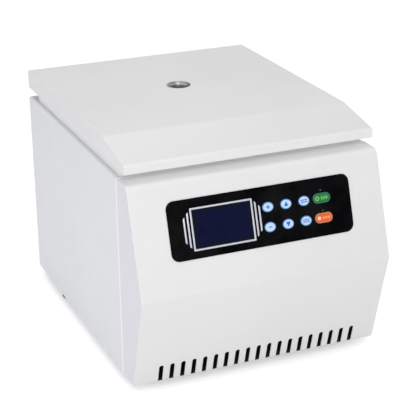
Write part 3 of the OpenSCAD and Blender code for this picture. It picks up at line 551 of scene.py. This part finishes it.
finish = {
    "front_shell": (front_white, 0.9, 4), "left_side_panel": (white_side_shaded, 0.9, 4), "right_side_panel": (white_side_shaded, 0.9, 4),
    "rear_panel": (white_side_shaded, 0.3, 2), "top_deck": (white, 0.4, 2), "lid_shell": (lid_white, 0.55, 3),
    "lid_liner": (lid_white, 0.3, 2), "base_pan": (zinc, 0.3, 2), "chamber_bowl": (stainless, 0.25, 2),
    "guard_ring": (armour, 0.5, 2), "chamber_gasket": (rubber_mat, 0.25, 2), "motor_plate": (zinc, 0.3, 2),
    "vibration_mounts": (rubber_mat, 0.3, 2), "motor_housing": (cast_alu, 0.3, 2), "motor_end_bells": (cast_alu, 0.5, 2),
    "stator": (coils, 0.4, 2), "shaft_bearings": (shaft_steel, 0.2, 2), "shaft_boot": (rubber_mat, 0.3, 2),
    "control_panel": (panel_black, 0.18, 2), "lcd_module": (zinc, 0.2, 2), "keypad_board": (board, 0.1, 1),
    "control_board": (board, 0.1, 1), "ribbon_cable": (ribbon, 0.1, 1), "drive_board": (board, 0.1, 1),
    "transformer": (core, 0.4, 2), "power_inlet": (black, 0.35, 2), "inlet_pins": (brass, 0.3, 2),
    "fuse_drawer": (knob, 0.3, 2), "switch_bezel": (black, 0.35, 2), "fan_frame": (black, 0.4, 2),
    "fan_guard": (wire, 0, 0), "lock_housing": (zinc, 0.2, 2), "lock_solenoid": (black, 0.4, 2),
    "hinge_brackets": (zinc, 0.3, 2), "hinge_pins": (bright_steel, 0.3, 2), "rubber_feet": (rubber_mat, 0.3, 2),
    "casing_screws": (screw, 0, 0), "sight_glass": (glass, 0.15, 2), "sight_ring": (chrome, 0.15, 2),
    "lid_striker": (zinc, 0.25, 2), "lid_hinge_leaves": (zinc, 0.3, 2), "lid_screws": (screw, 0, 0),
    "motor_shaft": (shaft_steel, 0.4, 2), "armature": (core, 0.4, 2), "rotor_head": (rotor_alu, 0.5, 3),
    "rotor_nut": (knob, 0.3, 2), "fan_impeller": (black, 0.3, 2), "lock_bolt": (bright_steel, 0.3, 2),
    "power_rocker": (red, 0.4, 3),
}
for name, (material, width, segments) in finish.items():
    dress(name, material, width, segments)


# ------------------------------------------------------------------- screen

def lcd():
    (u0, u1), (v0, v1), (w0, w1) = local("lcd_screen")
    uc, vc, hw, hh = (u0 + u1) / 2, (v0 + v1) / 2, (u1 - u0) / 2, (v1 - v0) / 2
    m = Mat("screen", (0.006, 0.007, 0.03), 0.12)
    # distance from the border of the active area, in the plane of the face
    x, y, z = m.xyz()
    px = m.math("ABSOLUTE", m.math("SUBTRACT", x, (PAN.x + uc * MM)))
    vy = m.math("ADD", m.math("MULTIPLY", m.math("SUBTRACT", y, PAN.y), UP.y),
                m.math("MULTIPLY", m.math("SUBTRACT", z, PAN.z), UP.z))
    pv = m.math("ABSOLUTE", m.math("SUBTRACT", vy, vc * MM))
    edge = m.math("MAXIMUM", m.span(px, (hw - 10) * MM, (hw - 1.2) * MM, 0, 1, True),
                  m.span(pv, (hh - 8) * MM, (hh - 1.2) * MM, 0, 1, True))
    glow = m.mix(m.span(m.noise(26.0, 3, 0.5), 0.3, 0.7), (0.0038, 0.0052, 0.026), (0.0056, 0.0068, 0.034))
    m.color(m.mix(m.math("MULTIPLY", edge, 0.9), glow, (0.0055, 0.0085, 0.0135)))
    m.rough(m.span(m.noise(40.0, 4, 0.6), 0.3, 0.7, 0.08, 0.16))
    m.bump(m.noise(300.0, 2), 0.03, 0.00003)
    m.set(Specular_IOR_Level=0.3)
    rings = []
    for t, w in ((0.0, w0), (0.0, w1 - 0.25), (0.08, w1 - 0.08), (0.3, w1), (1.3, w1), (1.5, w1 - 0.05), (1.7, w1 - 0.05)):
        rings.append([at(uc + p[0], vc + p[1], w) for p in round_rect(hw - t, hh - t, max(0.2, 0.8 - t * 0.3), 4)])
    o = mesh_piece("lcd_glass", *loft(rings), [m.m], "casing", "screen", angle=25)
    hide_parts("lcd_screen")
    # unlit segments, only just lighter than the screen
    g = Mat("screen_segments", (0.009, 0.0095, 0.042), 0.14)
    g.rough(g.span(g.noise(40.0, 4, 0.6), 0.3, 0.7, 0.09, 0.17))
    g.color(g.mix(g.span(g.noise(120.0, 3), 0.3, 0.7), (0.0054, 0.0068, 0.031), (0.0068, 0.0080, 0.037)))
    g.set(Specular_IOR_Level=0.3)
    shapes = []

    def digit(cx, cy, h, k=0.5):
        w, t = h * k, h * 0.085
        seg = [((-w, h), (w, h)), ((-w, 0), (w, 0)), ((-w, -h), (w, -h)),
               ((-w, h), (-w, 0)), ((w, h), (w, 0)), ((-w, 0), (-w, -h)), ((w, 0), (w, -h))]
        for (ax, ay), (bx, by) in seg:
            d = Vector((bx - ax, by - ay)).normalized()
            n = Vector((-d.y, d.x))
            a, b = Vector((ax, ay)) + d * t * 1.3, Vector((bx, by)) - d * t * 1.3
            skew = 0.09
            pts = [a - d * t, a + n * t, b + n * t, b + d * t, b - n * t, a - n * t]
            shapes.append([(uc + cx + p.x + skew * p.y, vc + cy + p.y) for p in pts])
    for i in range(5):
        digit(-24 + i * 12, 10.5, 6.4)
    for i in range(4):
        digit(-33 + i * 8.2, -12.5, 4.0)
    for i in range(3):
        digit(8 + i * 8.2, -12.5, 4.0)
    slab("lcd_segments", shapes, w1 - 0.08, w1 - 0.02, g.m, "casing", "screen", at, 0.01)


def trim():
    """Silver frame and side bars round the screen, with rounded crowns."""
    m = Mat("silver_print", (0.66, 0.66, 0.73), 0.34, 0.35)
    m.color(m.mix(m.span(m.noise(180.0, 3), 0.35, 0.7), (0.70, 0.70, 0.78), (0.62, 0.62, 0.70)))
    m.rough(m.span(m.noise(420.0, 3), 0.3, 0.7, 0.28, 0.42))
    m.bump(m.noise(1600.0, 2), 0.1, 0.00004)
    (u0, u1), (v0, v1), (w0, w1) = local("lcd_trim")
    (a0, a1), (b0, b1), _ = local("lcd_screen")
    uc, vc = (a0 + a1) / 2, (v0 + v1) / 2
    # frame centre lines: the screen sits 1.3 mm inside them
    cw, ch = (a1 - a0) / 2 + 1.3, (b1 - b0) / 2 + 1.3
    prof = [(-1.2, w0), (-1.2, w0 + 0.16), (-0.95, w0 + 0.34), (-0.5, w1 - 0.02), (0.0, w1), (0.5, w1 - 0.02),
            (0.95, w0 + 0.34), (1.2, w0 + 0.16), (1.2, w0)]
    rings = []
    for t, w in prof:
        rings.append([at(uc + p[0], vc + p[1], w) for p in round_rect(cw + t, ch + t, 0.25 + max(0, t) * 0.6, 3)])
    verts, faces = loft(rings, False, False)
    n = len(rings[0])
    k = len(rings) - 1
    faces += [(k * n + i, k * n + (i + 1) % n, (i + 1) % n, i) for i in range(n)]
    # bars: long hexagons with slanted ends
    for s in (-1, 1):
        for off, half in ((5.2, 23.2), (10.9, 16.9)):
            bars = []
            for inset, w in ((0.0, w0), (0.0, w0 + 0.16), (0.3, w0 + 0.34), (0.75, w1 - 0.02), (1.1, w1)):
                x_in, x_out = -1.2 + inset, 1.2 - inset
                y_in, y_out = half + 1.6 - inset * 1.4, half - 0.8 - inset * 1.4
                bars.append([at(uc + s * (cw + off + x), vc + y, w) for x, y in
                             ((x_in, -y_in), (x_out, -y_out), (x_out, y_out), (x_in, y_in))])
            v, f = loft(bars)
            j = len(verts)
            verts += v
            faces += [tuple(i + j for i in t) for t in f]
    o = mesh_piece("lcd_trim_frame", verts, faces, [m.m], "casing", "silver_print", angle=40)
    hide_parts("lcd_trim")


lcd()
trim()


# --------------------------------------------------------------------- keys

def key_plastic(name, color, shade, lit):
    m = Mat(name, color, 0.3)
    m.color(m.mix(m.span(m.noise(95.0, 3, 0.5), 0.35, 0.7), color, shade))
    m.rough(m.span(m.noise(300.0, 3), 0.3, 0.7, 0.26, 0.38))
    m.bump(m.noise(1200.0, 2), 0.1, 0.00005)
    m.set(Specular_IOR_Level=0.4, Coat_Weight=0.2, Coat_Roughness=0.15)
    return m.m


blue_face = key_plastic("key_blue", (0.50, 0.66, 0.86), (0.56, 0.71, 0.88), 0)
blue_rim = key_plastic("key_blue_rim", (0.045, 0.19, 0.52), (0.06, 0.22, 0.56), 0)
blue_ink = key_plastic("key_blue_ink", (0.006, 0.115, 0.56), (0.01, 0.14, 0.6), 0)
green_face = key_plastic("key_green", (0.010, 0.195, 0.022), (0.013, 0.225, 0.03), 0)
green_rim = key_plastic("key_green_rim", (0.022, 0.13, 0.14), (0.03, 0.16, 0.16), 0)
green_ink = key_plastic("key_green_ink", (0.42, 0.66, 0.36), (0.46, 0.7, 0.4), 0)
orange_face = key_plastic("key_orange", (0.80, 0.115, 0.022), (0.84, 0.14, 0.032), 0)
orange_rim = key_plastic("key_orange_rim", (0.52, 0.20, 0.12), (0.60, 0.26, 0.17), 0)
orange_ink = key_plastic("key_orange_ink", (0.86, 0.62, 0.50), (0.9, 0.66, 0.55), 0)
orange_soft = key_plastic("key_orange_soft_ink", (0.84, 0.34, 0.17), (0.86, 0.38, 0.2), 0)


def arc(cx, cy, r0, r1, a0, a1, n=24):
    out = [(cx + r1 * math.cos(math.radians(a0 + (a1 - a0) * i / n)), cy + r1 * math.sin(math.radians(a0 + (a1 - a0) * i / n))) for i in range(n + 1)]
    back = [(cx + r0 * math.cos(math.radians(a1 + (a0 - a1) * i / n)), cy + r0 * math.sin(math.radians(a1 + (a0 - a1) * i / n))) for i in range(n + 1)]
    return out + back


def rect2(x0, y0, x1, y1):
    return [(x0, y0), (x1, y0), (x1, y1), (x0, y1)]


ICONS = {
    "plus": [[(-0.75, -2.6), (0.75, -2.6), (0.75, -0.75), (2.6, -0.75), (2.6, 0.75), (0.75, 0.75), (0.75, 2.6),
              (-0.75, 2.6), (-0.75, 0.75), (-2.6, 0.75), (-2.6, -0.75), (-0.75, -0.75)]],
    "minus": [rect2(-2.5, -0.7, 2.5, 0.7)],
    "up": [[(-3.3, -2.9), (3.3, -2.9), (0.4, 3.1), (-0.4, 3.1)]],
    "down": [[(-3.3, 2.9), (-0.4, -3.1), (0.4, -3.1), (3.3, 2.9)]],
    # two opposed arrows
    "mode": [[(-5.6, 0.75), (2.4, 0.75), (2.4, -0.1 + 0.5), (5.6, 1.5), (2.4, 3.0), (2.4, 2.05), (-5.6, 2.05)],
             [(5.6, -0.75), (-2.4, -0.75), (-2.4, -0.4), (-5.6, -1.5), (-2.4, -3.0), (-2.4, -2.05), (5.6, -2.05)]],
    # three sliders
    "set": [rect2(-5.4, 1.55, 0.4, 2.35), rect2(2.6, 1.55, 5.4, 2.35), rect2(0.4, 0.95, 1.6, 2.95) , rect2(-5.4, -0.4, -3.6, 0.4),
            rect2(-1.4, -0.4, 5.4, 0.4), rect2(-2.9, -1.0, -1.7, 1.0),
            rect2(-5.4, -2.35, 1.6, -1.55), rect2(3.8, -2.35, 5.4, -1.55), rect2(2.1, -2.95, 3.3, -0.95)],
}


def key(name, face_mat, rim_mat, slot, inks):
    node = "key_" + name
    (u0, u1), (v0, v1), (w0, w1) = local(node)
    uc, vc = (u0 + u1) / 2, (v0 + v1) / 2
    flange = 1.1
    a, b = (u1 - u0) / 2 - flange, (v1 - v0) / 2 - flange
    pill = a > b * 1.5

    def outline(t):
        if pill:
            return stadium(a - t, b - t)
        return ellipse(a - t, b - t)
    body = "button_" + name
    top = w1
    prof = [(-flange, -1.4), (-flange, -0.62), (-flange + 0.12, -0.5), (0.0, -0.5), (0.0, top - 0.55), (0.06, top - 0.32),
            (0.22, top - 0.12), (0.5, top - 0.01), (0.85, top), (1.05, top - 0.02), (1.12, top - 0.06), (1.22, top - 0.05),
            (1.5, top + 0.0), (2.6, top + 0.05), (4.2, top + 0.09), (5.8, top + 0.11)]
    rings = [[at(uc + p[0], vc + p[1], w) for p in outline(t)] for t, w in prof]
    verts, faces = loft(rings)
    n = len(rings[0])
    which = []
    for k in range(len(prof) - 1):
        which += [1 if k < 10 else 0] * n
    which += [1, 0]
    # stem down to the switch
    stem = [[at(uc + 2.4 * math.cos(math.radians(15 * i)), vc + 2.4 * math.sin(math.radians(15 * i)), w) for i in range(24)]
            for w in (w0, w0 + 0.3, -1.2)]
    for i in range(24):
        stem[0][i] = at(uc + 2.1 * math.cos(math.radians(15 * i)), vc + 2.1 * math.sin(math.radians(15 * i)), w0)
    v, f = loft(stem)
    j = len(verts)
    verts += v
    faces += [tuple(i + j for i in t) for t in f]
    which += [1] * len(f)
    o = mesh_piece("key_cap_" + name, verts, faces, [face_mat, rim_mat], body, slot, mat_of=which, angle=40)
    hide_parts(node)
    for i, (shapes, ink) in enumerate(inks):
        moved = [[(uc + x, vc + y) for x, y in s] for s in shapes]
        slab("key_icon_%s_%d" % (name, i + 1), moved, top - 0.1, top + 0.135, ink, body, slot, at, 0.03)


for k in ("plus", "minus", "up", "down", "mode", "set"):
    key(k, blue_face, blue_rim, "key_blue", [(ICONS[k], blue_ink)])
chevrons = [[(x, -2.1), (x + 1.3, -2.1), (x + 3.0, 0), (x + 1.3, 2.1), (x, 2.1), (x + 1.7, 0)] for x in (-1.4, 2.3, 6.0)]
power = [arc(-7.2, -0.2, 2.0, 2.95, 122, 418), rect2(-7.65, 0.3, -6.75, 3.4)]
key("start", green_face, green_rim, "key_green", [(power, green_ink), (chevrons, green_ink)])
octo = [[(-7.4 + 2.9 * math.cos(math.radians(22.5 + 45 * i)), 2.9 * math.sin(math.radians(22.5 + 45 * i))) for i in range(8)]]
squares = [rect2(x, -1.7, x + 2.9, 1.7) for x in (-1.8, 2.2, 6.2)]
key("stop", orange_face, orange_rim, "key_orange", [(octo, orange_ink), (squares, orange_soft)])


# ----------------------------------------------- small lamps over the pill keys

def lamp(name, u, v):
    m = Mat(name + "_lens", (0.06, 0.062, 0.065), 0.12)
    m.color(m.mix(m.span(m.noise(900.0, 3), 0.3, 0.7), (0.045, 0.045, 0.048), (0.08, 0.08, 0.08)))
    m.rough(m.span(m.noise(700.0, 3), 0.3, 0.7, 0.08, 0.2))
    m.set(Coat_Weight=0.15, Coat_Roughness=0.05)
    rings = []
    for r, w in ((1.25, 0.7), (1.25, 0.86), (1.05, 0.92), (0.9, 0.9), (0.85, 1.0), (0.7, 1.16), (0.45, 1.28), (0.18, 1.34)):
        rings.append([at(u + r * math.cos(math.radians(12 * i)), v + r * math.sin(math.radians(12 * i)), w) for i in range(30)])
    mesh_piece(name, *loft(rings), [m.m], "casing", "silver_print", angle=50)


(ku0, ku1), (kv0, kv1), _ = local("key_start")
lamp("lamp_start", (ku0 + ku1) / 2 - 0.5, (kv0 + kv1) / 2 + 11.5)
(ku0, ku1), (kv0, kv1), _ = local("key_stop")
lamp("lamp_stop", (ku0 + ku1) / 2 - 0.5, (kv0 + kv1) / 2 + 10.7)


# -------------------------------------------------- marks on the power rocker

def rocker_marks():
    pivot = Vector(next(j for j in frame["joints"] if j["name"] == "power_rock")["pos_m"])
    tilt = math.radians(-8)

    def on_half(s):
        # outer face of one half of the rocker: along it, and out of it
        d = Vector((0, s * 1.2, 11.2)).normalized()
        n = Vector((0, d.z, -d.y))
        c = Vector((0, 2.2, s * 5.6))
        turn = Matrix.Rotation(tilt, 3, "X")

        def place_at(u, v, w):
            return pivot + (turn @ (c + Vector((u, 0, 0)) + d * v + n * w)) * MM
        return place_at
    m = Mat("rocker_mark", (0.82, 0.82, 0.8), 0.35)
    m.color(m.mix(m.span(m.noise(400.0, 3), 0.3, 0.7), (0.78, 0.78, 0.76), (0.86, 0.86, 0.84)))
    m.rough(m.span(m.noise(600.0, 3), 0.3, 0.7, 0.3, 0.45))
    slab("rocker_mark_on", [rect2(-0.5, -2.6, 0.5, 2.6)], -0.2, 0.1, m.m, "rocker", "silver_print", on_half(1), 0.03)
    a, b = [], []
    for i in range(40):
        t = 2 * math.pi * i / 40
        a.append((2.4 * math.cos(t), 2.4 * math.sin(t)))
        b.append((1.6 * math.cos(t), 1.6 * math.sin(t)))
    f = on_half(-1)
    rings = [[f(*p, w) for p in pts] for pts, w in ((a, -0.2), (a, 0.08), ([(x * 0.985, y * 0.985) for x, y in a], 0.1),
             ([(x * 1.02, y * 1.02) for x, y in b], 0.1), (b, 0.08), (b, -0.2))]
    verts, faces = loft(rings, False, False)
    n, k = 40, len(rings) - 1
    faces += [(k * n + i, k * n + (i + 1) % n, (i + 1) % n, i) for i in range(n)]
    mesh_piece("rocker_mark_off", verts, faces, [m.m], "rocker", "silver_print", angle=30)


rocker_marks()


# -------------------------------------------------------------------- camera

mid = Vector(((cad_box[0][0] + cad_box[1][0]) / 2, (cad_box[0][1] + cad_box[1][1]) / 2, 0))
az, el, roll = (math.radians(d) for d in (-22.9086, 21.7462, -0.6535))
back = Vector((math.sin(az) * math.cos(el), -math.cos(az) * math.cos(el), math.sin(el)))
right = Vector((0, 0, 1)).cross(back).normalized()
up = back.cross(right)
r2 = right * math.cos(roll) + up * math.sin(roll)
u2 = up * math.cos(roll) - right * math.sin(roll)
cam_data = bpy.data.cameras.new("camera")
cam = bpy.data.objects.new("camera", cam_data)
scene.collection.objects.link(cam)
cam_data.sensor_width = 36.0
cam_data.sensor_fit = "HORIZONTAL"
cam_data.lens = 1349.29 / 420 * 36
cam_data.clip_start = 0.05
cam_data.clip_end = 100
place = Vector((-0.73804, -1.79134, 0.94676))
cam.matrix_world = Matrix(((r2.x, u2.x, back.x, place.x), (r2.y, u2.y, back.y, place.y),
                           (r2.z, u2.z, back.z, place.z), (0, 0, 0, 1)))
scene.camera = cam


# ------------------------------------------------------------- floor and light

floor_me = bpy.data.meshes.new("floor")
floor_me.from_pydata([(-14, -14, 0), (14, -14, 0), (14, 14, 0), (-14, 14, 0)], [], [(0, 1, 2, 3)])
floor = bpy.data.objects.new("floor", floor_me)
scene.collection.objects.link(floor)
fm = bpy.data.materials.new("floor_pale")
fm.use_nodes = True
fb = fm.node_tree.nodes["Principled BSDF"]
fb.inputs["Base Color"].default_value = (0.93, 0.93, 0.935, 1)
fb.inputs["Roughness"].default_value = 0.9
fb.inputs["Specular IOR Level"].default_value = 0.1
fb.inputs["Emission Color"].default_value = (1, 1, 1, 1)
# the camera sees the floor a little brighter than it lights the object
path = fm.node_tree.nodes.new("ShaderNodeLightPath")
glow = fm.node_tree.nodes.new("ShaderNodeMapRange")
glow.inputs["To Min"].default_value = 0.04
glow.inputs["To Max"].default_value = 0.34
fm.node_tree.links.new(path.outputs["Is Camera Ray"], glow.inputs["Value"])
fm.node_tree.links.new(glow.outputs["Result"], fb.inputs["Emission Strength"])
floor_me.materials.append(fm)

world = bpy.data.worlds.new("studio")
scene.world = world
world.use_nodes = True
wt = world.node_tree
bg = wt.nodes["Background"]
bg.inputs["Strength"].default_value = 0.71
# a dark flag at the front right, which the glossy black panel mirrors
flag = Vector((0.44, -0.87, 0.225)).normalized()
coord = wt.nodes.new("ShaderNodeTexCoord")
unit_dir = wt.nodes.new("ShaderNodeVectorMath")
unit_dir.operation = "NORMALIZE"
wt.links.new(coord.outputs["Generated"], unit_dir.inputs[0])
dot = wt.nodes.new("ShaderNodeVectorMath")
dot.operation = "DOT_PRODUCT"
wt.links.new(unit_dir.outputs[0], dot.inputs[0])
dot.inputs[1].default_value = flag
fade = wt.nodes.new("ShaderNodeMapRange")
fade.interpolation_type = "SMOOTHSTEP"
fade.inputs["From Min"].default_value = math.cos(math.radians(42))
fade.inputs["From Max"].default_value = math.cos(math.radians(20))
wt.links.new(dot.outputs["Value"], fade.inputs["Value"])
tone = wt.nodes.new("ShaderNodeMix")
tone.data_type = "RGBA"
tone.inputs[6].default_value = (0.985, 0.99, 1.0, 1)
tone.inputs[7].default_value = (0.10, 0.11, 0.13, 1)
wt.links.new(fade.outputs["Result"], tone.inputs[0])
wt.links.new(tone.outputs[2], bg.inputs["Color"])


def area(name, az, el, dist, size, power, color=(1, 1, 1), aim=(0, 0, 0.15)):
    d = bpy.data.lights.new(name, "AREA")
    d.shape = "RECTANGLE"
    d.size, d.size_y = size
    d.energy = power
    d.color = color
    o = bpy.data.objects.new(name, d)
    scene.collection.objects.link(o)
    a, e = math.radians(az), math.radians(el)
    v = Vector((math.sin(a) * math.cos(e), -math.cos(a) * math.cos(e), math.sin(e)))
    o.location = Vector(aim) + v * dist
    o.rotation_euler = v.to_track_quat("Z", "Y").to_euler()
    return o


area("key", -20, 31, 2.6, (1.7, 1.7), 28.0)
area("side", -95, 12, 2.6, (1.7, 1.7), 3.2, (0.90, 0.92, 1.0))
area("top", 0, 85, 2.6, (1.7, 1.7), 9.0)
# a thin strip in the gap under the lid, which lifts the shadow there
lid_lo, lid_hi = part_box("lid_shell")
strip = area("gap_strip", 0, 0, 0.0, (lid_hi.x - lid_lo.x - 0.012, 0.02), 0.013)
strip.location = (0, lid_lo.y + 0.014, lid_lo.z - 0.0008)
strip.rotation_euler = (0, 0, 0)
strip.visible_camera = False
strip.visible_glossy = False

scene.view_settings.view_transform = "Standard"
scene.view_settings.look = "None"
scene.view_settings.exposure = 0.0
scene.view_settings.gamma = 1.0
